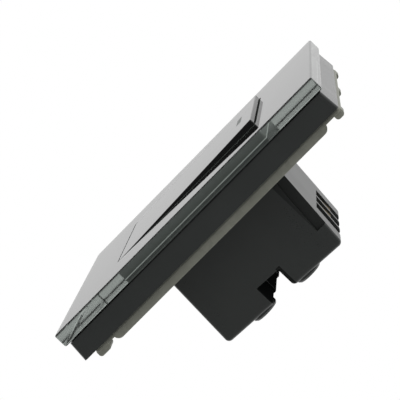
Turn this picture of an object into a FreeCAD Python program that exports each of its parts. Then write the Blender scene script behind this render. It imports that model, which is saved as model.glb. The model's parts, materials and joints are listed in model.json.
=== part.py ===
import FreeCAD, Part
import math
import os

from FreeCAD import Vector as V

# Two-way wall switch with a glass front, in millimetres.
# X runs across the switch, Y goes back into the wall, Z is up.
# Y = 0 is the wall, and the origin is the middle of the fixing holes.

# Glass front panel
panel_w = 86.0
panel_h = 86.0
panel_t = 3.75
panel_corner_r = 1.0
panel_bevel = 0.45
panel_back_bevel = 0.45
projection = 12.1

# Rocker and the hole it sits in
rocker_w = 45.2
rocker_h = 48.0
rocker_top_t = 1.8
rocker_wall = 1.3
rocker_corner_r = 0.5
rocker_edge_r = 0.2
rocker_gap = 0.4
rocker_skirt = 6.3
rocker_tilt = 1.75
pivot_depth = 3.9
rise_at_middle = 0.73

# Foam tape ring between the glass and the cover frame
tape_t = 0.3
tape_edge = 2.2
tape_hole_margin = 2.6

# Cover frame
frame_inset = 0.95
frame_flare = 0.39
frame_wall = 1.4
frame_face_t = 1.8
frame_corner_r = 1.2
frame_hole_margin = 0.6
frame_post = 4.0
frame_post_off = 33.0
clip_w = 7.0
clip_t = 1.5
clip_x = 33.6
clip_z = 22.0
clip_barb = 0.7
clip_barb_h = 0.9
clip_clearance = 0.3

# Steel mounting plate
plate_t = 1.3
plate_stand = 2.68
plate_half_w = 38.5
plate_half_h = 41.2
plate_rise = 1.0
plate_corner_r = 1.2
plate_bend_r = 1.0
side_flange_half = 35.7
side_flange_rise = 1.5
flange_end_r = 1.65
foot_w = 5.0
foot_t = 2.4
low_foot_t = 3.7
foot_pitch = 35.4
foot_end_r = 0.8
fix_spacing = 60.3
fix_slot_w = 4.4
fix_slot_len = 9.0

# Switch housing: base behind the plate, cover in front of it
house_w = 38.0
house_h = 39.2
house_corner_r = 1.1
house_wall = 1.3
house_play = 0.3
high_lean = 0.086
low_lean = 0.05
house_rise = -0.12
back_depth = 23.5
back_slope = 0.0545
back_edge_r = 1.3
chamber_depth = 12.0
channel_low = -4.1
channel_high = 1.2
channel_rise = 5.85
channel_edge_r = 1.2
channel_steps = ((-7.3, -4.85), (6.9, -5.62))
step_edge_r = 0.5
rebate_w = 2.83
rebate_depth = 0.8
rebate_start = 1.9
rebate_rise = 5.7
lug_w = 6.0
lug_out = 0.9
lug_len = 1.5
lug_off = 12.0
cover_half_w = 21.6
cover_half_h = 23.4
cover_t = 1.4
cover_corner_r = 1.5
lever_hole_half_w = 6.6
lever_hole_half_h = 6.0
rim_t = 1.2
rim_h = 1.2

# Housing screws, which go in from the back through round bosses
boss_x = 13.8
boss_z = 7.36
boss_rise = -1.76
boss_r = 3.8
boss_h = 1.05
boss_bevel = 0.5
boss_sink_r = 2.5
boss_sink = 2.0
screw_r = 1.1
screw_play = 0.1
screw_head_r = 2.2
screw_head_h = 1.5
post_r = 2.3
cross_w = 0.7
cross_len = 2.6
cross_depth = 0.9

# Rocker pivots
pin_r = 1.4
pin_play = 0.05
cheek_in = 16.9
cheek_t = 1.7
cheek_half = 2.2
pin_end = 20.9
lug_block_in = 19.0
lug_block_half = 3.0
lug_block_drop = 2.4
stem_half_w = 1.6
stem_tip_r = 0.8
stem_half_t = 0.5
stop_rib_z = 20.5
stop_rib_t = 1.6
stop_rib_half_w = 6.0
stop_rib_depth = 4.4
pad_w = 14.0
pad_h = 3.6
pad_gap = 0.22

# Drive lever, its pin and the sprung plunger
lever_ratio = 4.0
stem_reach = 7.2
lever_pin_r = 0.8
lever_pin_play = 0.05
lever_hub_r = 2.3
lever_hub_half = 4.4
fork_half_w = 2.2
fork_half_t = 2.4
fork_play = 0.06
fork_top = 1.2
fork_floor = 0.25
tube_r = 3.0
tube_bore_r = 1.85
tube_len = 7.4
bore_start = 1.0
bracket_gap = 0.3
bracket_t = 1.5
bracket_half = 2.5
bracket_end = 2.2
plunger_r = 1.75
plunger_head = 2.0
nose_r = 1.3
nose_len = 0.9
spring_wire = 0.4
spring_mean_r = 1.4
spring_curls = 4.0
spring_pitch = 1.05

# Rocking contact blade and the contacts
blade_gap = 0.13
blade_t = 0.8
blade_half_w = 3.0
blade_half_len = 10.1
blade_arch_r = 1.67
blade_groove_r = 0.87
blade_room = 1.0
ridge_play = 0.05
blade_tilt = 7.0
contact_r = 1.3
contact_t = 0.6
contact_z = 8.6
contact_gap = 0.06

# Terminals
strip_t = 0.8
strip_w = 3.0
strip_play = 0.2
bay_pitch = 8.1
bay_w = 6.7
bay_rise = 9.0
bay_len = 8.0
block_w = 6.0
block_len = 5.5
block_h = 5.9
block_play = 0.2
wire_r = 1.4
wire_depth = 2.5
wire_stop = 1.0
term_screw_r = 1.2
term_screw_play = 0.05
term_head_r = 2.1
term_head_h = 1.4
term_head_gap = 0.3
term_tip_gap = 0.1
seat_half = 1.7
seat_room = 0.4
seat_lap = 0.6
ridge_half = 2.6
web_half = 0.5
run_back = 16.0

# Marker let into the rocker near its raised end
marker_w = 10.5
marker_h = 1.7
marker_depth = 0.7
marker_z = 18.8

# How far a cutting shape reaches past the surface it leaves through
cut_past = 5.0

# Depths and heights worked out from the sizes above
y_front = -projection
y_panel_back = y_front + panel_t
y_frame_front = y_panel_back + tape_t
y_plate_front = -plate_stand
y_plate_back = y_plate_front + plate_t
y_frame_back = y_plate_front
y_cover_back = y_plate_front
y_cover_front = y_cover_back - cover_t
y_rocker_top = y_front - rise_at_middle
y_pivot = y_front + pivot_depth
y_stem_tip = y_pivot + stem_reach
y_lever = y_stem_tip + stem_reach / lever_ratio
y_tube_end = y_lever + tube_len
y_bore = y_lever + bore_start
spring_len = spring_curls * spring_pitch + spring_wire
y_spring_end = y_bore + spring_len
y_nose = y_spring_end + plunger_head + nose_len
y_tip = y_nose + nose_r
y_blade = y_tip + blade_gap + blade_arch_r

bay_floor = back_depth - bay_rise
bay_inner = house_h / 2 - bay_len
rebate_end = back_depth - rebate_rise

hole_w = rocker_w + 2 * rocker_gap
hole_h = rocker_h + 2 * rocker_gap


def box(x0, x1, y0, y1, z0, z1):
    """A box between two corners."""
    return Part.makeBox(x1 - x0, y1 - y0, z1 - z0, V(x0, y0, z0))


def rod(axis, r, start, end, a, b):
    """A cylinder along an axis; a and b are the other two coordinates in X, Y, Z order."""
    if axis == "x":
        return Part.makeCylinder(r, end - start, V(start, a, b), V(1, 0, 0))
    if axis == "y":
        return Part.makeCylinder(r, end - start, V(a, start, b), V(0, 1, 0))
    return Part.makeCylinder(r, end - start, V(a, b, start), V(0, 0, 1))


def outline(half_w, half_h, r, y, mid_z=0.0):
    """A closed wire: a rectangle with round corners, square to Y."""
    x = half_w - r
    z = half_h - r
    k = r * math.sqrt(0.5)
    edges = []
    for sx, sz in ((1, 1), (-1, 1), (-1, -1), (1, -1)):
        mid = V(sx * (x + k), y, mid_z + sz * (z + k))
        side = V(sx * half_w, y, mid_z + sz * z)
        cap = V(sx * x, y, mid_z + sz * half_h)
        first, last = (side, cap) if sx * sz > 0 else (cap, side)
        edges.append(Part.Arc(first, mid, last).toShape())
    ends = [(e.Vertexes[0].Point, e.Vertexes[-1].Point) for e in edges]
    loop = []
    for i, edge in enumerate(edges):
        loop.append(edge)
        loop.append(Part.LineSegment(ends[i][1], ends[(i + 1) % 4][0]).toShape())
    return Part.Wire(loop)


def slab(half_w, half_h, r, y0, y1, mid_z=0.0):
    """A flat plate with round corners, from y0 to y1."""
    face = Part.Face(outline(half_w, half_h, r, y0, mid_z))
    return face.extrude(V(0, y1 - y0, 0))


def tapered(half_w, half_h, r, y0, y1, grow):
    """A plate that grows by the same amount on each side from y0 to y1."""
    front = outline(half_w, half_h, r, y0)
    back = outline(half_w + grow, half_h + grow, r, y1)
    return Part.makeLoft([front, back], True, True)


def turn(shape, y, angle):
    """Turn a shape about the X axis line at height z = 0 and depth y."""
    shape.rotate(V(0, y, 0), V(1, 0, 0), angle)
    return shape


def fuse(shapes):
    """Join shapes into one clean solid."""
    whole = shapes[0].fuse(shapes[1:])
    return whole.removeSplitter()


def cut(shape, tools):
    """Take the tools away from a shape."""
    return shape.cut(tools)


def edges_at(shape, test):
    """The edges whose two ends both pass a test."""
    return [e for e in shape.Edges if all(test(v.Point) for v in e.Vertexes)]


def near(a, b):
    """True where two lengths are the same to a hundredth."""
    return abs(a - b) < 0.01


def cross_cut(x, z, y_head_back):
    """The cross recess of a screw head whose back is at y_head_back."""
    long = cross_len / 2
    thin = cross_w / 2
    y0 = y_head_back - cross_depth
    y1 = y_head_back + 1
    return [box(x - long, x + long, y0, y1, z - thin, z + thin),
            box(x - thin, x + thin, y0, y1, z - long, z + long)]


def glass_panel():
    """Clear panel with bevelled edges and a square hole for the rocker."""
    body = slab(panel_w / 2, panel_h / 2, panel_corner_r, y_front, y_panel_back)
    front = edges_at(body, lambda p: near(p.y, y_front))
    body = body.makeChamfer(panel_bevel, front)
    back = edges_at(body, lambda p: near(p.y, y_panel_back))
    body = body.makeChamfer(panel_back_bevel, back)
    hole = slab(hole_w / 2, hole_h / 2, rocker_corner_r + rocker_gap, y_front - 1, y_panel_back + 1)
    return cut(body, [hole])


def panel_tape():
    """Foam tape ring that holds the glass to the frame."""
    ring = slab(panel_w / 2 - tape_edge, panel_h / 2 - tape_edge, panel_corner_r,
                y_panel_back, y_frame_front)
    hole = slab(hole_w / 2 + tape_hole_margin, hole_h / 2 + tape_hole_margin, rocker_corner_r,
                y_panel_back - 1, y_frame_front + 1)
    return cut(ring, [hole])


def clip_places():
    """Where the frame's clips reach through the plate: side sign and height."""
    return [(sx, sz * clip_z) for sx in (-1, 1) for sz in (-1, 1)]


def cover_frame():
    """Frame behind the glass: a face, flared side walls, posts and four clips."""
    half = panel_w / 2 - frame_inset
    high = panel_h / 2 - frame_inset
    outer = tapered(half, high, frame_corner_r, y_frame_front, y_frame_back, frame_flare)
    y_in = y_frame_front + frame_face_t
    hollow = tapered(half - frame_wall, high - frame_wall, frame_corner_r / 2,
                     y_in, y_frame_back, frame_flare)
    cap = slab(half - frame_wall + frame_flare, high - frame_wall + frame_flare, frame_corner_r / 2,
               y_frame_back, y_frame_back + 1)
    hole = slab(hole_w / 2 + frame_hole_margin, hole_h / 2 + frame_hole_margin, rocker_corner_r,
                y_frame_front - 1, y_in + 1)
    shell = cut(outer, [hollow, cap, hole])
    parts = [shell]
    p = frame_post / 2
    for sx in (-1, 1):
        for sz in (-1, 1):
            x = sx * frame_post_off
            z = sz * frame_post_off
            parts.append(box(x - p, x + p, y_in - 0.5, y_frame_back, z - p, z + p))
    y_catch = y_plate_back + clip_clearance
    for sx, z in clip_places():
        inner = sx * clip_x
        x0, x1 = sorted((inner, inner + sx * clip_t))
        parts.append(box(x0, x1, y_in - 0.5, y_catch + clip_barb_h, z - clip_w / 2, z + clip_w / 2))
        b0, b1 = sorted((inner, inner - sx * clip_barb))
        parts.append(box(b0, b1, y_catch, y_catch + clip_barb_h, z - clip_w / 2, z + clip_w / 2))
    return fuse(parts)


def slot_cut(x, z, length, width, y0, y1):
    """A round-ended slot along X."""
    r = width / 2
    half = length / 2 - r
    return [box(x - half, x + half, y0, y1, z - r, z + r),
            rod("y", r, y0, y1, x - half, z),
            rod("y", r, y0, y1, x + half, z)]


def mounting_plate():
    """Pressed steel plate with side flanges and three round feet at each end."""
    sheet = slab(plate_half_w, plate_half_h, plate_corner_r, y_plate_front, y_plate_back, plate_rise)
    rim = edges_at(sheet, lambda p: near(p.y, y_plate_front))
    parts = [sheet.makeFillet(plate_bend_r, rim)]
    y_join = y_plate_front + plate_bend_r
    low = side_flange_rise - side_flange_half
    high = side_flange_rise + side_flange_half
    for sx in (-1, 1):
        x0, x1 = sorted((sx * (plate_half_w - plate_t), sx * plate_half_w))
        parts.append(round_ends(box(x0, x1, y_join, 0, low, high)))
    for sz, thick in ((-1, low_foot_t), (1, foot_t)):
        z_out = plate_rise + sz * plate_half_h
        z0, z1 = sorted((z_out, z_out - sz * thick))
        for i in (-1, 0, 1):
            mid = i * foot_pitch
            parts.append(folded_foot(box(mid - foot_w / 2, mid + foot_w / 2, y_join, 0, z0, z1)))
    body = fuse(parts)
    y0 = y_plate_front - 1
    y1 = y_plate_back + 1
    half_w = house_w / 2 + house_play
    low = low_wall(y_plate_front) - house_play
    high = high_wall(y_plate_front) + house_play
    tools = [box(-half_w, half_w, y0, y1, low, high)]
    for sx in (-1, 1):
        tools += slot_cut(sx * fix_spacing / 2, 0, fix_slot_len, fix_slot_w, y0, y1)
    near_end = clip_x - clip_clearance
    far_end = clip_x + clip_t + clip_barb + clip_clearance
    half = clip_w / 2 + clip_clearance
    for sx, z in clip_places():
        x0, x1 = sorted((sx * near_end, sx * far_end))
        tools.append(box(x0, x1, y0, y1, z - half, z + half))
    return cut(body, tools)


def round_ends(tab):
    """Round the two corners of a bent tab that reach the wall."""
    corners = edges_at(tab, lambda p: near(p.y, 0))
    return tab.makeFillet(flange_end_r, [e for e in corners if near(e.Length, plate_t)])


def folded_foot(tab):
    """Round the end of a foot, where its sheet is folded over."""
    bottom = edges_at(tab, lambda p: near(p.y, 0))
    return tab.makeFillet(foot_end_r, [e for e in bottom if near(e.Length, foot_w)])


def back_at(z):
    """Depth of the housing's sloping back at a height."""
    return back_depth + back_slope * z


def low_wall(y):
    """Height of the housing's lower wall at a depth."""
    return house_rise - house_h / 2 - low_lean * y


def high_wall(y):
    """Height of the housing's upper wall at a depth."""
    return house_rise + house_h / 2 - high_lean * y


def back_corner(wall_at_zero, lean):
    """Where a leaning wall meets the sloping back, as depth and height."""
    z = (wall_at_zero - lean * back_depth) / (1 + lean * back_slope)
    return back_at(z), z


def prism(points, half_w):
    """Extrude a polygon of depth and height pairs across X, from -half_w to half_w."""
    ring = [V(-half_w, y, z) for y, z in points]
    return Part.Face(Part.makePolygon(ring + [ring[0]])).extrude(V(2 * half_w, 0, 0))


def screw_places():
    """Centres of the four housing screws."""
    return [(sx * boss_x, boss_rise + sz * boss_z) for sx in (-1, 1) for sz in (-1, 1)]


def bay_xs():
    """Middles of the three wiring bays in each tower."""
    return [-bay_pitch, 0.0, bay_pitch]


def terminal_places():
    """Bay middle and tower of each terminal: common, first way, second way."""
    return [(-bay_pitch, 1), (0.0, 1), (0.0, -1)]


def house_block():
    """The outside of the base before anything is cut from it."""
    y = y_cover_back
    block = prism([(y, low_wall(y)), back_corner(low_wall(0), low_lean),
                   back_corner(high_wall(0), high_lean), (y, high_wall(y))], house_w / 2)
    posts = [e for e in block.Edges if e.BoundBox.YLength > back_depth / 2]
    block = block.makeFillet(house_corner_r, posts)
    ends = edges_at(block, lambda q: near(q.y, back_at(q.z)))
    return block.makeFillet(back_edge_r, [e for e in ends if e.BoundBox.ZLength < 0.01])


def channel_cut(x_start, low):
    """The cross channel down to a height, from x_start to past the base's +X side."""
    deep = back_depth + cut_past
    room = prism([(back_at(low) - channel_rise, low), (deep, low), (deep, channel_high),
                  (back_at(channel_high) - channel_rise, channel_high)], house_w)
    room.translate(V(x_start + house_w, 0, 0))
    return room


def channel_edges(block, z, is_long):
    """Edges of the channel's wall at height z that reach the sloping back."""
    wall = edges_at(block, lambda q: near(q.z, z) and abs(q.x) < house_w / 2 + 0.01)
    wall = [e for e in wall if e.BoundBox.YMax > back_at(z) - 0.1]
    return [e for e in wall if not is_long or e.BoundBox.XLength > 1]


def switch_base():
    """Rear housing: hollow box with a cross channel, a terminal tower and screw bosses."""
    block = house_block()
    deep = back_depth + cut_past
    steps = [channel_cut(x, z) for x, z in channel_steps]
    block = cut(block, [channel_cut(-house_w, channel_low)] + steps)
    block = block.makeFillet(channel_edge_r, channel_edges(block, channel_high, False))
    for z in [channel_low] + [z for x, z in channel_steps]:
        block = block.makeFillet(step_edge_r, channel_edges(block, z, True))
    adds = [block]
    for x, z in screw_places():
        rim = back_at(z) + boss_h - boss_bevel
        adds.append(rod("y", boss_r, bay_floor + bay_rise / 2, rim, x, z))
        adds.append(Part.makeCone(boss_r, boss_r - boss_bevel, boss_bevel, V(x, rim, z), V(0, 1, 0)))
    x_side = house_w / 2
    for sx in (-1, 1):
        for sz in (-1, 1):
            x0, x1 = sorted((sx * (x_side - 0.5), sx * (x_side + lug_out)))
            z = sz * lug_off
            y0 = y_plate_back + 0.1
            adds.append(box(x0, x1, y0, y0 + lug_len, z - lug_w / 2, z + lug_w / 2))
    block = fuse(adds)
    tools = [house_chamber()] + wiring_trenches() + steps
    for x in bay_xs():
        tools.append(box(x - bay_w / 2, x + bay_w / 2, bay_floor, deep, bay_inner, house_h))
        tools.append(box(x - bay_w / 2, x + bay_w / 2, bay_floor, deep, -house_h, -bay_inner))
    block = cut(block, tools + [side_rebates()])
    posts = [block]
    for x, z in screw_places():
        posts.append(rod("y", post_r, y_cover_back + rim_h + house_play, chamber_depth + 1, x, z))
    block = fuse(posts)
    holes = []
    for x, z in screw_places():
        end = back_at(z) + boss_h
        holes.append(rod("y", screw_r + screw_play, y_cover_back - 1, end + 1, x, z))
        holes.append(rod("y", boss_sink_r, end - boss_sink, end + 1, x, z))
    return cut(block, holes)


def house_chamber():
    """Room for the lever in the base, one wall in from its outside."""
    y0 = y_cover_back - 1
    y1 = chamber_depth
    half_w = house_w / 2 - house_wall
    return prism([(y0, low_wall(y0) + house_wall), (y1, low_wall(y1) + house_wall),
                  (y1, high_wall(y1) - house_wall), (y0, high_wall(y0) - house_wall)], half_w)


def side_rebates():
    """Shallow steps along the upper edges of the base's two sides."""
    strip = prism([(rebate_start, high_wall(rebate_start) - rebate_w),
                   (rebate_end, high_wall(rebate_end) - rebate_w),
                   (rebate_end, house_h), (rebate_start, house_h)], house_w)
    core = house_w / 2 - rebate_depth
    return cut(strip, [box(-core, core, rebate_start - 1, rebate_end + 1, 0, house_h + 1)])


def wiring_trenches():
    """Room inside the base for the blade, the contacts and the terminal strips."""
    half = blade_half_w + blade_room
    reach = blade_half_len + blade_room
    run = strip_w / 2 + strip_play
    top = chamber_depth - 1
    seat_in = contact_z - seat_half - 2 * strip_play
    tools = [box(-half, half, top, run_back, -reach, reach)]
    for sz in (-1, 1):
        z0, z1 = sorted((sz * seat_in, sz * reach))
        tools.append(box(-half, half, top, run_back + seat_room, z0, z1))
        z0, z1 = sorted((sz * (reach - 1), sz * (bay_inner + 1)))
        tools.append(box(-run, run, run_back - strip_t - strip_play, run_back, z0, z1))
    x = -bay_pitch
    tools.append(box(x - run, x + run, top, run_back, -run, bay_inner + 1))
    tools.append(box(x - run, 0, top, run_back, -run, run))
    return tools


def switch_cover():
    """Front cover: a flange on the plate, rocker pivots, and a bracket for the lever."""
    flange = slab(cover_half_w, cover_half_h, cover_corner_r, y_cover_front, y_cover_back)
    window = box(-lever_hole_half_w + bracket_t, lever_hole_half_w - bracket_t, y_cover_front - 1,
                 y_cover_back + 1, -lever_hole_half_h, lever_hole_half_h)
    flange = cut(flange, [window])
    parts = [flange]
    inner = lever_hub_half + bracket_gap
    for sx in (-1, 1):
        x0, x1 = sorted((sx * cheek_in, sx * (cheek_in + cheek_t)))
        parts.append(box(x0, x1, y_pivot, y_cover_front + 0.5, -cheek_half, cheek_half))
        parts.append(rod("x", cheek_half, x0, x1, y_pivot, 0))
        p0, p1 = sorted((sx * (cheek_in + cheek_t / 2), sx * pin_end))
        parts.append(rod("x", pin_r, p0, p1, y_pivot, 0))
        b0, b1 = sorted((sx * inner, sx * (inner + bracket_t)))
        parts.append(box(b0, b1, y_cover_front, y_lever + bracket_end, -bracket_half, bracket_half))
    rim_half_w = house_w / 2 - house_wall - house_play
    rim_half_h = high_wall(y_cover_back + rim_h) - house_wall - house_play
    rim = slab(rim_half_w, rim_half_h, house_corner_r, y_cover_back - 0.5, y_cover_back + rim_h)
    rim = cut(rim, [slab(rim_half_w - rim_t, rim_half_h - rim_t, house_corner_r, y_cover_back - 1,
                         y_cover_back + rim_h + 1)])
    parts.append(rim)
    body = fuse(parts)
    tools = [rod("x", lever_pin_r, -inner - bracket_t, inner + bracket_t, y_lever, 0)]
    for x, z in screw_places():
        tools.append(rod("y", screw_r, y_cover_front + 0.2, y_cover_back + 2, x, z))
    return cut(body, tools)


def housing_screws():
    """Four screws that hold the base to the cover, as separate solids."""
    screws = []
    for x, z in screw_places():
        seat = back_at(z) + boss_h - boss_sink
        y_back = seat + screw_head_h
        shank = rod("y", screw_r, y_cover_front + 0.2, seat + 0.2, x, z)
        head = rod("y", screw_head_r, seat, y_back, x, z)
        screws.append(cut(fuse([shank, head]), cross_cut(x, z, y_back)))
    return Part.makeCompound(screws)


def rocker_tilted(shape):
    """Lean a rocker piece to the rest position, with its upper end out."""
    return turn(shape, y_pivot, rocker_tilt)


def marker_pocket(y0, y1, play):
    """The marker's slot in the rocker, or the marker itself."""
    half_w = marker_w / 2 + play
    r = marker_h / 2 + play
    return slab(half_w, r, r - 0.01, y0, y1, marker_z)


def rocker():
    """Large rocker: top, skirt, pivot lugs, stop ribs and a drive stem."""
    top = slab(rocker_w / 2, rocker_h / 2, rocker_corner_r, y_rocker_top, y_rocker_top + rocker_skirt)
    rim = edges_at(top, lambda p: near(p.y, y_rocker_top))
    top = top.makeFillet(rocker_edge_r, rim)
    y_in = y_rocker_top + rocker_top_t
    inner_w = rocker_w / 2 - rocker_wall
    inner_h = rocker_h / 2 - rocker_wall
    shell = cut(top, [slab(inner_w, inner_h, rocker_corner_r / 2, y_in, y_rocker_top + rocker_skirt + 1)])
    parts = [shell]
    for sx in (-1, 1):
        x0, x1 = sorted((sx * lug_block_in, sx * (inner_w + 0.3)))
        parts.append(box(x0, x1, y_in - 0.5, y_pivot + lug_block_drop, -lug_block_half, lug_block_half))
    for sz in (-1, 1):
        z = sz * stop_rib_z
        parts.append(box(-stop_rib_half_w, stop_rib_half_w, y_in - 0.5, y_in + stop_rib_depth,
                         z - stop_rib_t / 2, z + stop_rib_t / 2))
    parts.append(box(-stem_half_w, stem_half_w, y_in - 0.5, y_stem_tip, -stem_half_t, stem_half_t))
    parts.append(rod("x", stem_tip_r, -stem_half_w, stem_half_w, y_stem_tip, 0))
    body = fuse(parts)
    bore_end = pin_end + 0.15
    tools = [rod("x", pin_r + pin_play, -bore_end, -lug_block_in + 1, y_pivot, 0),
             rod("x", pin_r + pin_play, lug_block_in - 1, bore_end, y_pivot, 0),
             marker_pocket(y_rocker_top - 1, y_rocker_top + marker_depth, 0.0)]
    return rocker_tilted(cut(body, tools))


def rocker_marker():
    """Plain translucent marker that fills the rocker's pocket."""
    return rocker_tilted(marker_pocket(y_rocker_top, y_rocker_top + marker_depth, 0.0))


def bumper_pads():
    """Two rubber pads under the rocker's stop ribs."""
    y_rib = y_rocker_top + rocker_top_t + stop_rib_depth
    lean = math.radians(rocker_tilt)
    reach = stop_rib_z + stop_rib_t / 2
    y_low = y_pivot + (y_rib - y_pivot) * math.cos(lean) + reach * math.sin(lean)
    pads = []
    for sz in (-1, 1):
        z = sz * stop_rib_z
        pads.append(slab(pad_w / 2, pad_h / 2, 0.8, y_low + pad_gap, y_cover_front, z))
    return Part.makeCompound(pads)


def drive_lever():
    """Lever with a fork for the rocker's stem and a tube for the plunger."""
    y_fork = y_stem_tip - fork_top
    parts = [rod("x", lever_hub_r, -lever_hub_half, lever_hub_half, y_lever, 0),
             box(-fork_half_w, fork_half_w, y_fork, y_lever, -fork_half_t, fork_half_t),
             rod("y", tube_r, y_lever, y_tube_end, 0, 0)]
    body = fuse(parts)
    half = stem_tip_r + fork_play
    tools = [box(-house_w, house_w, y_fork - 1, y_stem_tip + stem_tip_r + fork_floor, -half, half),
             rod("x", lever_pin_r + lever_pin_play, -house_w, house_w, y_lever, 0),
             rod("y", tube_bore_r, y_bore, y_tube_end + 1, 0, 0)]
    return turn(cut(body, tools), y_lever, -lever_ratio * rocker_tilt)


def lever_pin():
    """Steel pin that the drive lever turns on."""
    half = lever_hub_half + bracket_gap + bracket_t
    return rod("x", lever_pin_r, -half, half, y_lever, 0)


def plunger():
    """Sprung plunger with a round nose that presses on the blade."""
    head = rod("y", plunger_r, y_spring_end, y_spring_end + plunger_head, 0, 0)
    nose = rod("y", nose_r, y_spring_end + plunger_head - 0.2, y_nose, 0, 0)
    ball = Part.makeSphere(nose_r, V(0, y_nose, 0))
    return turn(fuse([head, nose, ball]), y_lever, -lever_ratio * rocker_tilt)


def helix_point(angle):
    """A point of the spring's middle line, and its direction, at an angle in radians."""
    y = y_bore + spring_wire / 2 + spring_pitch * angle / (2 * math.pi)
    at = V(spring_mean_r * math.cos(angle), y, spring_mean_r * math.sin(angle))
    way = V(-spring_mean_r * math.sin(angle), spring_pitch / (2 * math.pi), spring_mean_r * math.cos(angle))
    return at, way.normalize()


def biarc(p0, t0, p1, t1):
    """Two arcs that join p0 to p1 and follow both directions."""
    gap = p1 - p0
    both = t0 + t1
    a = 2 * (1 - t0.dot(t1))
    b = 2 * gap.dot(both)
    d = (math.sqrt(b * b + 4 * a * gap.dot(gap)) - b) / (2 * a)
    q0 = p0 + t0 * d
    q1 = p1 - t1 * d
    join = (q0 + q1) * 0.5
    arcs = []
    for start, corner, end in ((p0, q0, join), (join, q1, p1)):
        chord_mid = (start + end) * 0.5
        rise = corner - chord_mid
        half = (end - start).Length / 2
        tall = rise.Length
        sag = half * (math.sqrt(half * half + tall * tall) - half) / tall
        arcs.append(Part.Arc(start, chord_mid + rise * (sag / tall), end).toShape())
    return arcs


def plunger_spring():
    """Coil spring in the lever's tube, one unbroken tube of round wire."""
    steps = int(round(spring_curls * 4))
    edges = []
    for i in range(steps):
        p0, t0 = helix_point(i * math.pi / 2)
        p1, t1 = helix_point((i + 1) * math.pi / 2)
        edges += biarc(p0, t0, p1, t1)
    path = Part.Wire(edges)
    start, way = helix_point(0)
    ring = Part.Wire([Part.makeCircle(spring_wire / 2, start, way)])
    coil = path.makePipeShell([ring], True, False)
    print("spring: %.1f curls, least gap %.2f mm" % (spring_curls, spring_gap()))
    return turn(coil, y_lever, -lever_ratio * rocker_tilt)


def spring_gap():
    """Least gap between neighbouring curls, measured on points of the middle line."""
    count = int(spring_curls * 36)
    line = [helix_point(i * math.pi / 18)[0] for i in range(count + 1)]
    least = min((line[i] - line[j]).Length for i in range(count + 1) for j in range(i + 24, count + 1))
    return least - spring_wire


def blade_side(shape, sz):
    """Turn a piece that lines up with the closed blade to its place on side sz."""
    return turn(shape, y_blade, -sz * blade_tilt)


def contact_blade():
    """Rocking contact blade with an arch that sits on the common terminal's ridge."""
    y0 = y_blade - blade_t / 2
    strip = box(-blade_half_w, blade_half_w, y0, y0 + blade_t, -blade_half_len, blade_half_len)
    arch = rod("x", blade_arch_r, -blade_half_w, blade_half_w, y_blade, 0)
    lower = box(-blade_half_w - 1, blade_half_w + 1, y0 + blade_t, y_blade + 3, -3, 3)
    body = fuse([strip, cut(arch, [lower])])
    groove = rod("x", blade_groove_r, -blade_half_w - 1, blade_half_w + 1, y_blade, 0)
    return blade_side(cut(body, [groove]), -1)


def moving_contacts():
    """Two silver buttons under the blade's ends."""
    y0 = y_blade + blade_t / 2
    tips = [blade_side(rod("y", contact_r, y0, y0 + contact_t, 0, sz * contact_z), -1) for sz in (-1, 1)]
    return Part.makeCompound(tips)


def fixed_contacts():
    """Two silver buttons on the terminals, square to the closed blade."""
    y0 = y_blade + blade_t / 2 + contact_t + contact_gap
    tips = [blade_side(rod("y", contact_r, y0, y0 + contact_t, 0, sz * contact_z), sz) for sz in (-1, 1)]
    return Part.makeCompound(tips)


def contact_seat(sz):
    """The tilted end of a terminal that carries a fixed contact."""
    y0 = y_blade + blade_t / 2 + 2 * contact_t + contact_gap
    z0, z1 = sorted((sz * (contact_z - seat_half), sz * (contact_z + seat_half)))
    return blade_side(box(-strip_w / 2, strip_w / 2, y0, y0 + strip_t, z0, z1), sz)


def block_low():
    """Depth and height where a terminal pillar starts in its bay."""
    return bay_floor + block_play, bay_inner + block_play


def terminal(place, strips, start):
    """A pillar in its bay with the strip that leads to it from the height start."""
    x, sz = place
    y0, z0 = block_low()
    half = block_w / 2
    tail_half = strip_w / 2
    a0, a1 = sorted((sz * z0, sz * (z0 + block_len)))
    block = box(x - half, x + half, y0, y0 + block_h, a0, a1)
    b0, b1 = sorted((sz * start, sz * (z0 + 0.5)))
    tail = box(x - tail_half, x + tail_half, run_back - strip_t, run_back, b0, b1)
    body = fuse([block, tail] + strips)
    c0, c1 = sorted((sz * (z0 + wire_stop), sz * (z0 + block_len + 1)))
    wire_hole = rod("z", wire_r, c0, c1, x, y0 + wire_depth)
    screw_hole = rod("y", term_screw_r + term_screw_play, y0 + wire_depth, y0 + block_h + 1, x,
                     sz * (z0 + block_len / 2))
    return cut(body, [wire_hole, screw_hole])


def common_terminal():
    """Common terminal: a ridge for the blade, a cross strip and a pillar."""
    half = strip_w / 2
    ridge = rod("x", blade_groove_r - ridge_play, -ridge_half, ridge_half, y_blade, 0)
    web = box(-ridge_half, ridge_half, y_blade, run_back - strip_t / 2, -web_half, web_half)
    cross = box(-bay_pitch - half, ridge_half, run_back - strip_t, run_back, -half, half)
    return terminal(terminal_places()[0], [ridge, web, cross], -half)


def terminal_one():
    """First way, in the upper tower."""
    return terminal(terminal_places()[1], [contact_seat(1)], contact_z + seat_half - seat_lap)


def terminal_two():
    """Second way, in the lower tower."""
    return terminal(terminal_places()[2], [contact_seat(-1)], contact_z + seat_half - seat_lap)


def terminal_screws():
    """Three clamp screws, backed off to let a wire in."""
    y0, z0 = block_low()
    y_head = y0 + block_h + term_head_gap
    y_back = y_head + term_head_h
    y_end = y0 + wire_depth + wire_r + term_tip_gap
    screws = []
    for x, sz in terminal_places():
        z = sz * (z0 + block_len / 2)
        shank = rod("y", term_screw_r, y_end, y_head + 0.2, x, z)
        head = rod("y", term_head_r, y_head, y_back, x, z)
        screws.append(cut(fuse([shank, head]), cross_cut(x, z, y_back)))
    return Part.makeCompound(screws)


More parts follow.
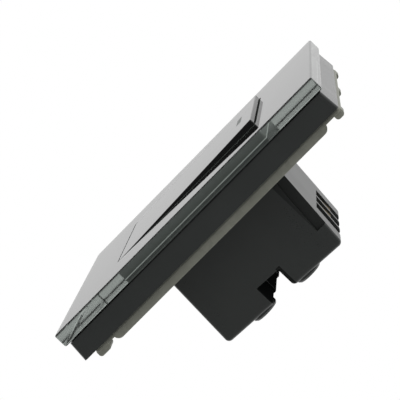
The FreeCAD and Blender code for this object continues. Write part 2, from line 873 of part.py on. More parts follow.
pieces = {
    "glass_panel": glass_panel,
    "panel_tape": panel_tape,
    "cover_frame": cover_frame,
    "mounting_plate": mounting_plate,
    "switch_base": switch_base,
    "switch_cover": switch_cover,
    "housing_screws": housing_screws,
    "rocker": rocker,
    "rocker_marker": rocker_marker,
    "bumper_pads": bumper_pads,
    "drive_lever": drive_lever,
    "lever_pin": lever_pin,
    "plunger": plunger,
    "plunger_spring": plunger_spring,
    "contact_blade": contact_blade,
    "moving_contacts": moving_contacts,
    "fixed_contacts": fixed_contacts,
    "common_terminal": common_terminal,
    "terminal_one": terminal_one,
    "terminal_two": terminal_two,
    "terminal_screws": terminal_screws,
}

os.makedirs("parts", exist_ok=True)
for name, make in pieces.items():
    shape = make()
    shape.exportStep("parts/%s.step" % name)
    print("%-16s %d solids, %.1f mm3, valid %s" % (name, len(shape.Solids), shape.Volume, shape.isValid()))
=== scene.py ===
"""Two-way light switch: finishes, glass, seal, spring, camera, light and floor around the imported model."""

import json
import math

import bmesh
import bpy
from mathutils import Matrix, Vector


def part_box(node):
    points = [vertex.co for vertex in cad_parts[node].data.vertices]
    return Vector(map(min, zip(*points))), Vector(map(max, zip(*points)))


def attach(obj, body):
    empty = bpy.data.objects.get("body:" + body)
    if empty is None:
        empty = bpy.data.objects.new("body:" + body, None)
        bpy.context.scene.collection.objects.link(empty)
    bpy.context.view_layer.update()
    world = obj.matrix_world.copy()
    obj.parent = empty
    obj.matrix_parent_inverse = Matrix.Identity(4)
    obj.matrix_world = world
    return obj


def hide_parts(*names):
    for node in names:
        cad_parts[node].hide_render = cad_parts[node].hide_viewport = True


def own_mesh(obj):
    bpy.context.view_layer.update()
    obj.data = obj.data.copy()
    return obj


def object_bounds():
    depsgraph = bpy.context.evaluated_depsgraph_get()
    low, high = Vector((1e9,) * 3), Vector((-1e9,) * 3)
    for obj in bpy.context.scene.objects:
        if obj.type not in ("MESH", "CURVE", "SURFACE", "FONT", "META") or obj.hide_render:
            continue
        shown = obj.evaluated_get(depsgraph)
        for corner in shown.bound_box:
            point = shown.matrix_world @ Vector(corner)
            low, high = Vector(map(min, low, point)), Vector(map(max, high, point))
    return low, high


bl_info = {
    "name": "Two-way light switch",
    "version": (1, 0, 0),
    "blender": (4, 5, 0),
    "location": "View3D > Sidebar > Switch",
    "description": "Finishes a wall switch with a glass front and one large rocker",
    "category": "Object",
}

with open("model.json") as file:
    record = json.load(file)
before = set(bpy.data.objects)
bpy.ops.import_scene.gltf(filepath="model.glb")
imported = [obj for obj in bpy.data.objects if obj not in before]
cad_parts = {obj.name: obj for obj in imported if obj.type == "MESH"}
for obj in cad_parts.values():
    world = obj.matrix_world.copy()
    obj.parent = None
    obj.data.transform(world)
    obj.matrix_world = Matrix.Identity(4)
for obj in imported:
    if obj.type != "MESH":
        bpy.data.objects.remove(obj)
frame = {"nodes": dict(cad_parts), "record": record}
cad_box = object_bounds()
MM = 0.001
SAME_PLACE = 1e-6

WHITE = (1, 1, 1, 1)
BLACK = (0, 0, 0, 1)
ZINC = (0.62, 0.62, 0.63)
DRAWN_STEEL = (0.5, 0.5, 0.51)
BRASS = (0.72, 0.53, 0.24)
TARNISHED_BRASS = (0.2, 0.15, 0.075)
SILVER = (0.78, 0.77, 0.74)
NATURAL_PLASTIC = (0.62, 0.6, 0.55)


# Shader building

class Value:
    """A shader socket with arithmetic, so that a pattern reads as an expression."""

    def __init__(self, tree, socket):
        self.tree = tree
        self.socket = socket

    def math(self, operation, *others, clamp=False):
        """Add a Math node that takes the given values or numbers."""
        node = self.tree.nodes.new("ShaderNodeMath")
        node.operation = operation
        node.use_clamp = clamp
        for slot, item in zip(node.inputs, others):
            if isinstance(item, Value):
                self.tree.links.new(item.socket, slot)
            else:
                slot.default_value = item
        return Value(self.tree, node.outputs[0])

    def __add__(self, other):
        return self.math("ADD", self, other)

    def __radd__(self, other):
        return self.math("ADD", other, self)

    def __sub__(self, other):
        return self.math("SUBTRACT", self, other)

    def __rsub__(self, other):
        return self.math("SUBTRACT", other, self)

    def __mul__(self, other):
        return self.math("MULTIPLY", self, other)

    def __rmul__(self, other):
        return self.math("MULTIPLY", other, self)

    def __truediv__(self, other):
        return self.math("DIVIDE", self, other)

    def over(self, edge):
        """1 where the value is above an edge."""
        return self.math("GREATER_THAN", self, edge)

    def held(self):
        """The value kept between 0 and 1."""
        return self.math("ADD", self, 0.0, clamp=True)

    def size(self):
        """The value without its sign."""
        return self.math("ABSOLUTE", self)

    def root(self):
        """The square root of the value."""
        return self.math("SQRT", self)

    def most(self, other):
        """The larger of two values."""
        return self.math("MAXIMUM", self, other)


class Tree:
    """A node tree that nodes are added to by one method."""

    def __init__(self, tree):
        self.tree = tree

    def node(self, kind, settings, values, output=0):
        """Add a node: settings first, then the values or links of its sockets."""
        node = self.tree.nodes.new(kind)
        for name, value in settings.items():
            setattr(node, name, value)
        for name, value in values.items():
            slot = node.inputs[name]
            if isinstance(value, Value):
                self.tree.links.new(value.socket, slot)
            else:
                slot.default_value = value
        return Value(self.tree, node.outputs[output])

    def along(self, place, axis):
        """One coordinate of a place."""
        return self.node("ShaderNodeSeparateXYZ", {}, {"Vector": place}, axis)


class Finish(Tree):
    """A material under construction, with its Principled shader."""

    def __init__(self, name, **constants):
        self.material = bpy.data.materials.new(name)
        self.material.use_nodes = True
        super().__init__(self.material.node_tree)
        self.shader = self.tree.nodes["Principled BSDF"]
        self.out = self.tree.nodes["Material Output"]
        for socket, value in constants.items():
            self.shader.inputs[socket.replace("_", " ")].default_value = value
        self.place = self.node("ShaderNodeTexCoord", {}, {}, "Object")

    def noise(self, size, detail=3.0, rough=0.5, stretch=(1, 1, 1)):
        """Noise with lumps of a size in metres, drawn out along the axes by stretch."""
        spot = self.place
        if stretch != (1, 1, 1):
            spot = self.node("ShaderNodeMapping", {}, {"Vector": self.place, "Scale": stretch})
        values = {"Vector": spot, "Scale": 1 / size, "Detail": detail, "Roughness": rough}
        return self.node("ShaderNodeTexNoise", {}, values, "Fac")

    def cells(self, size, output="Distance"):
        """Voronoi cells of a size in metres."""
        values = {"Vector": self.place, "Scale": 1 / size}
        return self.node("ShaderNodeTexVoronoi", {"feature": "F1"}, values, output)

    def ramp(self, value, low, high):
        """Stretch a value so that low becomes 0 and high becomes 1, kept between them."""
        values = {"Value": value, "From Min": low, "From Max": high}
        return self.node("ShaderNodeMapRange", {"clamp": True}, values)

    def blend(self, factor, first, second):
        """A colour between two colours."""
        return self.node("ShaderNodeMix", {"data_type": "RGBA"}, {0: factor, 6: first, 7: second}, 2)

    def bump(self, height, depth, strength):
        """Feed the normal from a height; depth is in metres."""
        values = {"Height": height, "Distance": depth, "Strength": strength}
        self.feed("Normal", self.node("ShaderNodeBump", {}, values))

    def feed(self, socket, value):
        """Link a value to a socket of the Principled shader."""
        self.tree.links.new(value.socket, self.shader.inputs[socket])

    def surface(self, factor, second):
        """Mix another shader into the Principled one and make that the surface."""
        first = Value(self.tree, self.shader.outputs[0])
        mixed = self.node("ShaderNodeMixShader", {}, {0: factor, 1: first, 2: second})
        self.tree.links.new(mixed.socket, self.out.inputs["Surface"])

    def edge(self, reach):
        """1 along sharp edges, 0 on flat faces, from how far the bevelled normal turns."""
        flat = 0.995
        sharp = 0.9
        soft = self.node("ShaderNodeBevel", {"samples": 4}, {"Radius": reach})
        hard = self.node("ShaderNodeNewGeometry", {}, {}, "Normal")
        turn = self.node("ShaderNodeVectorMath", {"operation": "DOT_PRODUCT"}, {0: soft, 1: hard}, "Value")
        return self.ramp(turn, flat, sharp)

    def zone(self, bounds):
        """1 inside a box, given as an axis, a low and a high value each; X is taken without its sign."""
        inside = None
        for axis, low, high in bounds:
            at = self.along(self.place, axis)
            at = at.size() if axis == "X" else at
            between = at.over(low) * (1.0 - at.over(high))
            inside = between if inside is None else inside * between
        return inside


def rgba(colour):
    """A colour with full alpha."""
    return (colour[0], colour[1], colour[2], 1.0)


def shade(colour, factor):
    """A colour made darker or lighter."""
    return (colour[0] * factor, colour[1] * factor, colour[2] * factor, 1.0)


# Finishes

def clear_glass(s, low, high):
    """Float glass: green in its depth and deeper in tone towards its back, its sides less polished."""
    pale_end = low.y + 0.8 * MM
    deep_start = low.y + 2.2 * MM
    waver = 0.6 * MM
    rim_width = 0.1 * MM
    f = Finish("clear_glass", Transmission_Weight=1.0, IOR=s.glass_ior)
    x, depth, z = (f.along(f.place, axis) for axis in "XYZ")
    tone = f.ramp(depth + waver * (f.noise(18 * MM, 2.0) - 0.5), pale_end, deep_start)
    f.feed("Base Color", f.blend(tone, shade(s.glass_tint, 1.25), shade(s.glass_tint, 0.66)))
    smudge = f.ramp(f.noise(9 * MM, 4.0, 0.6), 0.52, 0.75)
    rim = x.size().most(z.size()).over(high.x - rim_width)
    f.feed("Roughness", s.glass_roughness + 0.015 * smudge + s.side_roughness * rim)
    return f.material


def ground_glass(s, front, back):
    """The wall of the glass's opening: dark along its front edge, matt, and finely chipped along its back,
    with a painted glow as its emission: faint at the front, brighter on the matt wall, brightest along the
    chipped back edge.
    """
    front_tone = (0.02, 0.022, 0.021, 1)
    matt_low = (0.16, 0.18, 0.17, 1)
    matt_high = (0.24, 0.27, 0.26, 1)
    front_painted_glow = 0.02
    matt_painted_glow = 0.16
    f = Finish("ground_glass", Transmission_Weight=0.3, IOR=s.glass_ior, Emission_Strength=1.0)
    chips = f.noise(0.35 * MM, 3.0, 0.6)
    depth = f.along(f.place, "Y")
    chips_and_painted_glow = f.ramp(depth + 0.05 * MM * chips, back - 0.11 * MM, back - 0.07 * MM)
    inner = f.ramp(depth, front + 0.1 * MM, front + 1.2 * MM)
    matt = f.blend(inner, front_tone, f.blend(chips, matt_low, matt_high))
    f.feed("Base Color", f.blend(chips_and_painted_glow, matt, WHITE))
    # Painted light: the emission is a painted glow that stands in for light the wall catches. The white base
    # colour of the chipped back band is the chips' own colour, but its glow is painted light.
    glow = f.blend(inner, shade(s.painted_edge_glow, front_painted_glow), shade(s.painted_edge_glow, matt_painted_glow))
    f.feed("Emission Color", f.blend(chips_and_painted_glow, glow, rgba(s.painted_edge_glow)))
    f.feed("Roughness", 0.4 + 0.2 * chips)
    f.bump(chips, 0.02 * MM, 0.5)
    return f.material


def back_print(s):
    """Dark enamel printed on the back of the glass, a little uneven in its depth."""
    f = Finish("back_print", Specular_IOR_Level=0.5)
    enamel = f.noise(6 * MM, 2.0, 0.5)
    f.feed("Base Color", f.blend(enamel, shade(s.print_colour, 0.85), shade(s.print_colour, 1.15)))
    f.feed("Roughness", 0.015 + 0.015 * enamel)
    return f.material


def foam(s):
    """Closed-cell foam: black with fine pores, their centres darkened with painted shade."""
    f = Finish("seal_foam", Specular_IOR_Level=0.2)
    pores = f.cells(0.35 * MM)
    # Painted shade: each pore is darker towards its centre.
    painted_pore_shade = f.ramp(pores, 0.2, 0.6)
    f.feed("Base Color", f.blend(painted_pore_shade, shade(s.seal_colour, 0.5), shade(s.seal_colour, 1.4)))
    f.feed("Roughness", 0.82 + 0.1 * pores)
    f.bump(pores, 0.04 * MM, 0.6)
    return f.material


def moulded(name, colour, roughness, grain, painted_shade_zones=()):
    """Moulded plastic: fine spark grain, slow flow marks, smoother edges, and painted shade darkening the
    hollows it is given.
    """
    painted_shade_colour = shade(colour, 0.2)
    f = Finish(name, Specular_IOR_Level=0.5)
    flow = f.noise(14 * MM, 3.0, 0.55, (1.0, 0.35, 1.0))
    speck = f.noise(grain, 2.0, 0.6)
    worn = f.edge(0.25 * MM)
    base = f.blend(flow, shade(colour, 0.82), shade(colour, 1.15))
    f.feed("Base Color", f.blend(worn * 0.5, base, shade(colour, 1.7)))
    f.feed("Roughness", roughness + 0.10 * (flow - 0.5) + 0.06 * (speck - 0.5) - 0.08 * worn)
    f.bump(speck, 0.012 * MM, 0.55)
    # Painted shade: inside the given zones a dark matt diffuse shader is mixed in, less where the edges are.
    if painted_shade_zones:
        dark = sum(share * f.zone(bounds) for share, bounds in painted_shade_zones)
        matt = f.node("ShaderNodeBsdfDiffuse", {}, {"Color": painted_shade_colour})
        f.surface((dark * (1.0 - 0.6 * worn)).held(), matt)
    return f.material


def gloss_cap(s):
    """Polished plastic of the rocker: near mirror, with hair scratches and faint smears."""
    f = Finish("rocker_gloss", Specular_IOR_Level=0.47)
    smear = f.ramp(f.noise(11 * MM, 4.0, 0.6), 0.5, 0.72)
    scratch = f.ramp(f.noise(0.16 * MM, 2.0, 0.5, (0.06, 1.0, 1.0)), 0.62, 0.7)
    f.feed("Base Color", f.blend(smear, rgba(s.rocker_colour), shade(s.rocker_colour, 1.5)))
    f.feed("Roughness", s.rocker_roughness + 0.03 * smear + 0.02 * scratch)
    f.bump(f.noise(1.6 * MM, 2.0, 0.4), 0.004 * MM, 0.25)
    return f.material


def plated(s):
    """Dull plated steel: faint crystals, rolling lines and brighter cut edges."""
    f = Finish("plated_steel", Specular_IOR_Level=0.5)
    crystal = f.cells(1.5 * MM, "Color")
    tone = f.node("ShaderNodeSeparateColor", {}, {"Color": crystal}, "Red")
    lines = f.noise(0.5 * MM, 3.0, 0.6, (0.05, 1.0, 1.0))
    cloud = f.noise(12 * MM, 4.0, 0.6)
    mix = (0.3 * tone + 0.3 * lines + 0.4 * cloud).held()
    base = f.blend(mix, shade(s.plate_colour, 0.8), shade(s.plate_colour, 1.22))
    worn = f.edge(0.2 * MM)
    f.feed("Base Color", f.blend(worn * 0.6, base, shade(s.plate_colour, 2.2)))
    f.feed("Metallic", 0.25 + 0.25 * worn)
    f.feed("Roughness", s.plate_roughness + 0.06 * (tone - 0.5) + 0.08 * (lines - 0.5))
    f.bump(lines * 0.5 + cloud * 0.5, 0.01 * MM, 0.4)
    return f.material


def metal(name, colour, roughness, line, stretch, tarnish_share):
    """Worked metal: drawn or turned lines along an axis, and light tarnish."""
    f = Finish(name, Metallic=1.0)
    lines = f.noise(line, 3.0, 0.65, stretch)
    tarnish = f.noise(2.2 * MM, 4.0, 0.6)
    base = f.blend(lines, shade(colour, 0.8), shade(colour, 1.12))
    f.feed("Base Color", f.blend(tarnish_share * f.ramp(tarnish, 0.5, 0.75), base, shade(colour, 0.5)))
    f.feed("Roughness", roughness + 0.16 * (lines - 0.5) + 0.1 * (tarnish - 0.5))
    f.bump(lines, 0.006 * MM, 0.5)
    return f.material


def soft_rubber():
    """Matt rubber with bloom."""
    clean = (0.018, 0.018, 0.018, 1.0)
    bloomed = (0.045, 0.045, 0.043, 1.0)
    f = Finish("bumper_rubber", Specular_IOR_Level=0.25)
    bloom = f.noise(1.8 * MM, 4.0, 0.6)
    f.feed("Base Color", f.blend(bloom, clean, bloomed))
    f.feed("Roughness", 0.72 + 0.15 * bloom)
    f.bump(f.noise(0.2 * MM), 0.01 * MM, 0.5)
    return f.material


def marker_plastic(s):
    """Satin inlay, a little lighter than the rocker."""
    f = Finish("marker_satin", Specular_IOR_Level=0.4)
    grain = f.noise(0.25 * MM, 2.0, 0.5)
    f.feed("Base Color", f.blend(grain, shade(s.marker_colour, 0.85), shade(s.marker_colour, 1.15)))
    f.feed("Roughness", 0.42 + 0.1 * grain)
    f.bump(grain, 0.01 * MM, 0.4)
    return f.material


# Mesh helpers

def object_mode():
    """Leave edit mode, if a mesh is open."""
    if bpy.context.object and bpy.context.object.mode != "OBJECT":
        bpy.ops.object.mode_set(mode="OBJECT")


def select_only(obj):
    """Select one object and make it the active one."""
    bpy.ops.object.select_all(action="DESELECT")
    obj.select_set(True)
    bpy.context.view_layer.objects.active = obj


def place_in_mesh():
    """Move the selected object's place, turn and scale into its mesh."""
    bpy.ops.object.transform_apply(location=True, rotation=True, scale=True)


def fresh(add, **size):
    """Add a primitive with everything else deselected."""
    object_mode()
    bpy.ops.object.select_all(action="DESELECT")
    add(**size)
    return bpy.context.object


def slab(low, high):
    """Add a block between two corners and open it for editing."""
    obj = fresh(bpy.ops.mesh.primitive_cube_add, size=1, location=(low + high) / 2, scale=high - low)
    place_in_mesh()
    bpy.ops.object.mode_set(mode="EDIT")
    return obj


def pick(obj, kind, test):
    """In edit mode, select only the edges or faces that pass a test."""
    bpy.context.tool_settings.mesh_select_mode = (False, kind == "edges", kind == "faces")
    bpy.ops.mesh.select_all(action="DESELECT")
    mesh = bmesh.from_edit_mesh(obj.data)
    for item in getattr(mesh, kind):
        if test(item):
            item.select_set(True)
    bmesh.update_edit_mesh(obj.data)


def upright(edge):
    """True for an edge that runs along Y."""
    first, last = (v.co for v in edge.verts)
    return abs(first.x - last.x) + abs(first.z - last.z) < SAME_PLACE


def level_at(y):
    """A test for edges or faces that lie at one depth."""
    return lambda item: all(abs(v.co.y - y) < SAME_PLACE for v in item.verts)


def round_edges(obj, test, radius, steps):
    """Round the edges that pass a test."""
    pick(obj, "edges", test)
    bpy.ops.mesh.bevel(offset=radius, offset_type="OFFSET", segments=steps, affect="EDGES")


def opening(node):
    """Half the width and half the height of a ring-shaped node's opening."""
    inner_share = 0.8
    low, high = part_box(node)
    inner = [v.co for v in frame["nodes"][node].data.vertices
             if abs(v.co.x) < inner_share * high.x and abs(v.co.z) < inner_share * high.z]
    return max(v.x for v in inner), max(v.z for v in inner)


def opening_cutter(node, radius, steps):
    """A block that fills a ring-shaped node's opening and stands out at both ends."""
    low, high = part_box(node)
    half_w, half_h = opening(node)
    cutter = slab(Vector((-half_w, low.y - MM, -half_h)), Vector((half_w, high.y + MM, half_h)))
    round_edges(cutter, upright, radius, steps)
    return cutter


def cut_away(obj, cutter):
    """Take one block out of another."""
    object_mode()
    bpy.context.view_layer.objects.active = obj
    hole = obj.modifiers.new("hole", "BOOLEAN")
    hole.object = cutter
    hole.solver = "EXACT"
    bpy.ops.object.modifier_apply(modifier=hole.name)
    bpy.data.objects.remove(cutter)


def coat(obj, slot, test):
    """In edit mode, give the faces that pass a test another material slot."""
    pick(obj, "faces", test)
    obj.active_material_index = slot
    bpy.ops.object.material_slot_assign()


def settle(obj, name, body):
    """Bake the place of a piece into its mesh, name it and let it ride."""
    object_mode()
    select_only(obj)
    place_in_mesh()
    obj.name = name
    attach(obj, body)


def dress(material, *nodes):
    """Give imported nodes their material."""
    for node in nodes:
        for slot in frame["nodes"][node].material_slots:
            slot.material = material


# User settings

def colour_property(name, description, default):
    """A colour."""
    return bpy.props.FloatVectorProperty(name=name, description=description, default=default, size=3,
                                         subtype="COLOR", min=0.0, max=1.0)


def length_property(name, description, default):
    """A length in metres."""
    return bpy.props.FloatProperty(name=name, description=description, default=default, unit="LENGTH")


def share_property(name, description, default):
    """A value from 0 to 1, such as a roughness."""
    return bpy.props.FloatProperty(name=name, description=description, default=default, subtype="FACTOR")


class SwitchLooks(bpy.types.PropertyGroup):
    """Colours, surface values and small sizes of the switch."""

    glass_tint: colour_property("Glass tint", "Colour that light takes on in the glass", (0.45, 0.49, 0.465))
    glass_ior: bpy.props.FloatProperty(name="Glass IOR", description="Refraction of the glass", default=1.52)
    glass_roughness: share_property("Glass roughness", "Polish of the glass", 0.003)
    side_roughness: share_property("Side roughness", "Polish of the glass's sides", 0.05)
    glass_edge: length_property("Glass edge", "Radius of the edges round front and back", 0.45 * MM)
    glass_corner: length_property("Glass corner", "Radius of the glass's corners", 0.6 * MM)
    # Painted light: colour of the glow painted as emission on the wall of the glass's opening.
    painted_edge_glow: colour_property("Wall glow", "Light that the ground edge of the opening gathers",
                               (0.36, 0.39, 0.37))
    print_colour: colour_property("Print", "Colour of the enamel on the glass's back", (0.006, 0.006, 0.006))
    seal_squeeze: length_property("Seal squeeze", "Foam pressed out past its ring", 0.7 * MM)
    seal_colour: colour_property("Seal", "Colour of the foam seal", (0.012, 0.012, 0.012))
    rocker_colour: colour_property("Rocker", "Colour of the rocker", (0.004, 0.0042, 0.0042))
    rocker_roughness: share_property("Rocker roughness", "Polish of the rocker", 0.06)
    marker_colour: colour_property("Marker", "Colour of the rocker's marker", (0.13, 0.14, 0.135))
    plastic_colour: colour_property("Plastic", "Colour of the frame and the housing",
                                    (0.0195, 0.0215, 0.0205))
    plastic_roughness: share_property("Plastic roughness", "Satin of the plastic", 0.2)
    plate_colour: colour_property("Plate", "Colour of the steel plate", (0.21, 0.215, 0.18))
    plate_roughness: share_property("Plate roughness", "Dullness of the plate", 0.46)
    spring_wire: length_property("Spring wire", "Diameter of the spring's wire", 0.4 * MM)
    spring_radius: length_property("Spring radius", "Radius of the spring's middle line", 1.4 * MM)
    spring_pitch: length_property("Spring pitch", "Advance of one curl of the spring", 1.05 * MM)
    spring_curls: bpy.props.IntProperty(name="Spring curls", description="Number of the spring's curls",
                                        default=4)
    spring_seat: length_property("Spring seat", "From the lever's pin to the spring's foot", 1.0 * MM)


class SwitchStage(bpy.types.PropertyGroup):
    """Floor, light and camera."""

    floor_drop: length_property("Floor depth", "Distance of the floor below the switch", 0.2)
    floor_size: length_property("Floor size", "Width of the floor", 12.0)
    world_level: bpy.props.FloatProperty(name="World level", description="Brightness of the surroundings",
                                         default=0.75)
    lamp_level: bpy.props.FloatProperty(name="Lamp level", description="Power of the key lamp", default=6.0)
    focal_px: bpy.props.FloatProperty(name="Focal length", default=1706.5,
                                      description="Focal length in pixels of a 400 px picture")


# The pieces

class SwitchPiece:
    """What the switch's operators share."""

    bl_options = {"REGISTER", "UNDO"}

    @property
    def looks(self):
        return bpy.context.scene.switch_looks


class SWITCH_OT_glass(SwitchPiece, bpy.types.Operator):
    """Make the glass panel, with its print on the back"""

    bl_idname = "switch.glass"
    bl_label = "Glass panel"

    def execute(self, context):
        s = self.looks
        corner_steps = 8
        edge_steps = 3
        hole_steps = 4
        low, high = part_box("glass_panel")
        half_w, half_h = opening("glass_panel")
        obj = slab(low, high)
        round_edges(obj, upright, s.glass_corner, corner_steps)
        for y in (low.y, high.y):
            round_edges(obj, level_at(y), s.glass_edge, edge_steps)
        cut_away(obj, opening_cutter("glass_panel", s.glass_corner, hole_steps))
        for finish in (clear_glass(s, low, high), back_print(s), ground_glass(s, low.y, high.y)):
            obj.data.materials.append(finish)
        print_slot = 1
        wall_slot = 2

        def wall(face):
            """True for a face of the opening's wall, whose points lie no further out than its corners."""
            reach = max(abs(v.co.x) / half_w + abs(v.co.z) / half_h for v in face.verts)
            return reach < 2.01 and abs(face.normal.y) < 0.1

        select_only(obj)
        bpy.ops.object.mode_set(mode="EDIT")
        coat(obj, print_slot, level_at(high.y))
        coat(obj, wall_slot, wall)
        settle(obj, "glass_front", "housing")
        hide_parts("glass_panel")
        return {"FINISHED"}


class SWITCH_OT_seal(SwitchPiece, bpy.types.Operator):
    """Make the foam seal behind the glass"""

    bl_idname = "switch.seal"
    bl_label = "Foam seal"

    def execute(self, context):
        s = self.looks
        low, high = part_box("panel_tape")
        gap = 0.02 * MM
        corner_steps = 4
        hole_steps = 3
        squeeze = s.seal_squeeze
        obj = slab(low + Vector((-squeeze, gap, -squeeze)), high + Vector((squeeze, 0, squeeze)))
        round_edges(obj, upright, s.glass_corner, corner_steps)
        cut_away(obj, opening_cutter("panel_tape", 0.4 * s.glass_corner, hole_steps))
        obj.data.materials.append(foam(s))
        settle(obj, "foam_seal", "housing")
        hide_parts("panel_tape")
        return {"FINISHED"}


class SWITCH_OT_frame(SwitchPiece, bpy.types.Operator):
    """Finish the frame behind the glass"""

    bl_idname = "switch.frame"
    bl_label = "Cover frame"

    def execute(self, context):
        s = self.looks
        grain = 0.22 * MM
        dress(moulded("frame_plastic", s.plastic_colour, s.plastic_roughness, grain), "cover_frame")
        return {"FINISHED"}


class SWITCH_OT_plate(SwitchPiece, bpy.types.Operator):
    """Finish the steel mounting plate"""

    bl_idname = "switch.plate"
    bl_label = "Mounting plate"

    def execute(self, context):
        dress(plated(self.looks), "mounting_plate")
        return {"FINISHED"}


class SWITCH_OT_rocker(SwitchPiece, bpy.types.Operator):
    """Finish the rocker, its marker and the stops under it"""

    bl_idname = "switch.rocker"
    bl_label = "Rocker"

    def execute(self, context):
        dress(gloss_cap(self.looks), "rocker")
        dress(marker_plastic(self.looks), "rocker_marker")
        dress(soft_rubber(), "bumper_pads")
        return {"FINISHED"}


class SWITCH_OT_housing(SwitchPiece, bpy.types.Operator):
    """Finish the housing and its screws"""

    bl_idname = "switch.housing"
    bl_label = "Housing"

    def execute(self, context):
        s = self.looks
        side = 19.0 * MM
        grain = 0.3 * MM
        channel_y = ("Y", 17.2 * MM, 23.6 * MM)
        bay_x = ("X", 0, 11.5 * MM)
        bay_y = ("Y", 14.4 * MM, 25 * MM)
        # Painted shade: boxes where the housing plastic is darkened with a dark matt shader, each with its
        # share: the channel, its lip, the two terminal bays and the rebate.
        channel = (("X", 0, side - 0.01 * MM), channel_y, ("Z", -5.8 * MM, 1.2 * MM))
        channel_lip = (("X", side - 1.3 * MM, side + MM), channel_y, ("Z", 1.0 * MM, 2.3 * MM))
        upper_bay = (bay_x, bay_y, ("Z", 11.5 * MM, 16.9 * MM))
        lower_bay = (bay_x, bay_y, ("Z", -20 * MM, -11.5 * MM))
        rebate = (("X", side - 1.0 * MM, side), ("Y", 1.9 * MM, 17.8 * MM), ("Z", 15.0 * MM, 20 * MM))
        painted_shade_zones = ((1.0, channel), (0.8, channel_lip), (1.0, upper_bay), (1.0, lower_bay), (0.45, rebate))
        plastic = moulded("housing_plastic", shade(s.plastic_colour, 1.2), s.plastic_roughness + 0.1, grain,
                          painted_shade_zones)
        dress(plastic, "switch_base", "switch_cover")
        zinc = metal("bright_zinc", ZINC, 0.3, 0.12 * MM, (1, 0.2, 1), 0.4)
        dress(zinc, "housing_screws", "terminal_screws", "lever_pin")
        return {"FINISHED"}


class SWITCH_OT_mechanism(SwitchPiece, bpy.types.Operator):
    """Finish the lever, plunger, blade, contacts and terminals"""

    bl_idname = "switch.mechanism"
    bl_label = "Mechanism"

    def execute(self, context):
        natural = moulded("natural_plastic", NATURAL_PLASTIC, 0.4, 0.25 * MM)
        dress(natural, "drive_lever", "plunger")
        bright = metal("stamped_brass", BRASS, 0.34, 0.2 * MM, (1, 1, 0.08), 0.5)
        dress(bright, "contact_blade")
        dull = metal("tarnished_brass", TARNISHED_BRASS, 0.55, 0.2 * MM, (1, 1, 0.08), 0.5)
        dress(dull, "common_terminal", "terminal_one", "terminal_two")
        silver = metal("contact_silver", SILVER, 0.3, 0.15 * MM, (1, 1, 1), 0.5)
        dress(silver, "moving_contacts", "fixed_contacts")
        return {"FINISHED"}


class SWITCH_OT_spring(SwitchPiece, bpy.types.Operator):
    """Make the coil spring behind the plunger"""

    bl_idname = "switch.spring"
    bl_label = "Plunger spring"

    def execute(self, context):
        s = self.looks
        wire_sides = 12
        curl_steps = 24
        joints = {joint["name"]: joint for joint in frame["record"]["behaviour"]["joints"]}
        pin = Vector(joints["lever_hinge"]["pos_m"])
        way = Vector(joints["plunger_slide"]["axis"])
        travel = joints["plunger_slide"]["range_m"][1]
        foot = (s.spring_radius, pin.y + s.spring_seat + s.spring_wire / 2, 0)
        obj = fresh(bpy.ops.mesh.primitive_circle_add, vertices=wire_sides, radius=s.spring_wire / 2,
                    location=foot)
        place_in_mesh()
        coil = obj.modifiers.new("coil", "SCREW")
        coil.axis = "Y"
        coil.angle = -2 * math.pi
        coil.screw_offset = s.spring_pitch
        coil.iterations = s.spring_curls
        coil.steps = curl_steps
        coil.render_steps = curl_steps
        bpy.ops.object.modifier_apply(modifier=coil.name)
        bpy.ops.object.mode_set(mode="EDIT")
        bpy.ops.mesh.select_all(action="SELECT")
        bpy.ops.mesh.fill_holes(sides=0)
        bpy.ops.mesh.normals_make_consistent(inside=False)
        object_mode()
        bpy.ops.object.shade_smooth()
        tilt = Matrix.Rotation(math.atan2(-way.z, -way.y), 4, "X")
        obj.matrix_world = Matrix.Translation(pin) @ tilt @ Matrix.Translation(-pin)
        obj.data.materials.append(metal("spring_wire", DRAWN_STEEL, 0.28, 0.08 * MM, (0.3, 0.3, 1), 0.2))
        settle(obj, "coil_spring", "lever")
        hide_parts("plunger_spring")
        length = s.spring_curls * s.spring_pitch + s.spring_wire
        1 - travel / length
        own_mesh(obj)
        return {"FINISHED"}


# The stage

def rays(tree):
    """Three values: 1 for rays from the camera, for rays off gloss, and for rays through glass."""
    straight = tree.node("ShaderNodeLightPath", {}, {}, "Is Camera Ray")
    glossy = tree.node("ShaderNodeLightPath", {}, {}, "Is Glossy Ray")
    through = tree.node("ShaderNodeLightPath", {}, {}, "Is Transmission Ray")
    return straight, (glossy - straight).held(), (through - glossy - straight).held()


def room_tone(tree, x, pale, dim):
    """Brightness from the room's pale -X side to its dim +X side."""
    values = {"Value": x, "From Min": -0.3, "From Max": 0.5, "To Min": pale, "To Max": dim}
    return tree.node("ShaderNodeMapRange", {"clamp": True, "interpolation_type": "SMOOTHSTEP"}, values)


def room(tree, x, glossy, through):
    """Brightness of the room that gloss shows and that glass shows."""
    in_gloss = room_tone(tree, x, 0.77, 0.2)
    in_glass = room_tone(tree, x, 0.85, 0.6)
    return glossy * in_gloss + through * in_glass


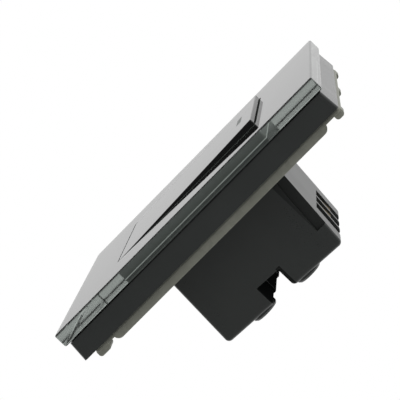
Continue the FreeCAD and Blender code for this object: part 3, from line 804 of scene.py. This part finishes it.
def stage_floor(stage, low_z):
    """A wide pale floor under the switch, which fades to white away from it."""
    shadow_near = 0.2
    shadow_far = 0.42
    white_near = 0.55
    obj = fresh(bpy.ops.mesh.primitive_grid_add, x_subdivisions=8, y_subdivisions=8, size=stage.floor_size,
                location=(0, 0, low_z - stage.floor_drop))
    f = Finish("floor_white", Roughness=0.9, Specular_IOR_Level=0.1)
    f.feed("Base Color", f.blend(f.noise(0.05), (0.84, 0.84, 0.84, 1), (0.88, 0.88, 0.88, 1)))
    straight, glossy, through = rays(f)
    away = f.node("ShaderNodeVectorMath", {"operation": "LENGTH"}, {0: f.place}, "Value")
    slant = (away * away + stage.floor_drop ** 2).root()
    seen = room(f, f.along(f.place, "X") / slant, glossy, through)
    tone = f.blend(straight, f.blend(seen, BLACK, WHITE), WHITE)
    glow = f.node("ShaderNodeEmission", {}, {"Color": tone, "Strength": 1.0})
    whiter = white_near + (1 - white_near) * f.ramp(away, shadow_near, shadow_far)
    f.surface(straight * whiter + glossy + through, glow)
    obj.name = "floor"
    obj.data.materials.append(f.material)


def stage_world(stage):
    """White surroundings: full white where seen, a plain level as light."""
    world = bpy.data.worlds.new("studio")
    bpy.context.scene.world = world
    world.use_nodes = True
    t = Tree(world.node_tree)
    sky = t.tree.nodes["Background"]
    sky.inputs["Color"].default_value = WHITE
    straight, glossy, through = rays(t)
    way = t.node("ShaderNodeTexCoord", {}, {}, "Generated")
    seen = room(t, t.along(way, "X"), glossy, through)
    level = straight + seen + stage.world_level * (1 - straight - glossy - through)
    t.tree.links.new(level.socket, sky.inputs["Strength"])


def stage_lamps(stage):
    """Three soft lamps round the switch, each with its place, its width and its share of the power."""
    lamps = {
        "key_lamp": ((-0.55, -0.55, 0.9), 0.7, 1.0),
        "fill_lamp": ((0.9, -0.5, 0.5), 0.8, 0.5),
        "back_lamp": ((-0.2, 0.9, 0.6), 0.8, 0.5),
    }
    for name, (place, width, share) in lamps.items():
        bpy.ops.object.select_all(action="DESELECT")
        bpy.ops.object.light_add(type="AREA", location=place)
        lamp = bpy.context.object
        lamp.name = name
        lamp.data.size = width
        lamp.data.energy = stage.lamp_level * share
        lamp.rotation_euler = Vector(place).to_track_quat("Z", "Y").to_euler()
        lamp.visible_glossy = False


def stage_camera(stage):
    """The photograph's view, fitted to the edges of the glass."""
    picture_px = 400
    sensor_mm = 36.0
    right = Vector((-0.06092316, 0.71898053, 0.69235494))
    down = Vector((0.19113824, 0.68921024, -0.69889586))
    ahead = Vector((-0.97967063, 0.08975657, -0.17941354))
    place = Vector((0.429047, -0.045702, 0.075599))
    bpy.ops.object.camera_add()
    camera = bpy.context.object
    turn = Matrix((right, -down, -ahead)).transposed().to_4x4()
    camera.matrix_world = Matrix.Translation(place) @ turn
    camera.data.sensor_width = sensor_mm
    camera.data.lens = stage.focal_px / picture_px * sensor_mm
    camera.data.clip_start = 0.01
    bpy.context.scene.camera = camera


class SWITCH_OT_stage(SwitchPiece, bpy.types.Operator):
    """Set up the floor, the light and the camera"""

    bl_idname = "switch.stage"
    bl_label = "Stage"

    def execute(self, context):
        stage = context.scene.switch_stage
        stage_floor(stage, cad_box[0][2])
        stage_world(stage)
        stage_lamps(stage)
        stage_camera(stage)
        context.scene.view_settings.view_transform = "Standard"
        return {"FINISHED"}


# The add-on

operators = (SWITCH_OT_stage, SWITCH_OT_glass, SWITCH_OT_seal, SWITCH_OT_frame, SWITCH_OT_plate,
             SWITCH_OT_rocker, SWITCH_OT_housing, SWITCH_OT_mechanism, SWITCH_OT_spring)


class SWITCH_PT_panel(bpy.types.Panel):
    """Settings and buttons for the pieces and the stage"""

    bl_idname = "SWITCH_PT_panel"
    bl_label = "Two-way switch"
    bl_space_type = "VIEW_3D"
    bl_region_type = "UI"
    bl_category = "Switch"

    def draw(self, context):
        for settings in (context.scene.switch_looks, context.scene.switch_stage):
            box = self.layout.box()
            for name in settings.__annotations__:
                box.prop(settings, name)
        for operator in operators:
            self.layout.operator(operator.bl_idname)


classes = (SwitchLooks, SwitchStage) + operators + (SWITCH_PT_panel,)


def register():
    for item in classes:
        bpy.utils.register_class(item)
    bpy.types.Scene.switch_looks = bpy.props.PointerProperty(type=SwitchLooks)
    bpy.types.Scene.switch_stage = bpy.props.PointerProperty(type=SwitchStage)


def unregister():
    del bpy.types.Scene.switch_stage
    del bpy.types.Scene.switch_looks
    for item in reversed(classes):
        bpy.utils.unregister_class(item)


def main():
    register()
    bpy.ops.switch.stage()
    bpy.ops.switch.glass()
    bpy.ops.switch.seal()
    bpy.ops.switch.frame()
    bpy.ops.switch.plate()
    bpy.ops.switch.rocker()
    bpy.ops.switch.housing()
    bpy.ops.switch.mechanism()
    bpy.ops.switch.spring()


if __name__ == "__main__":
    main()
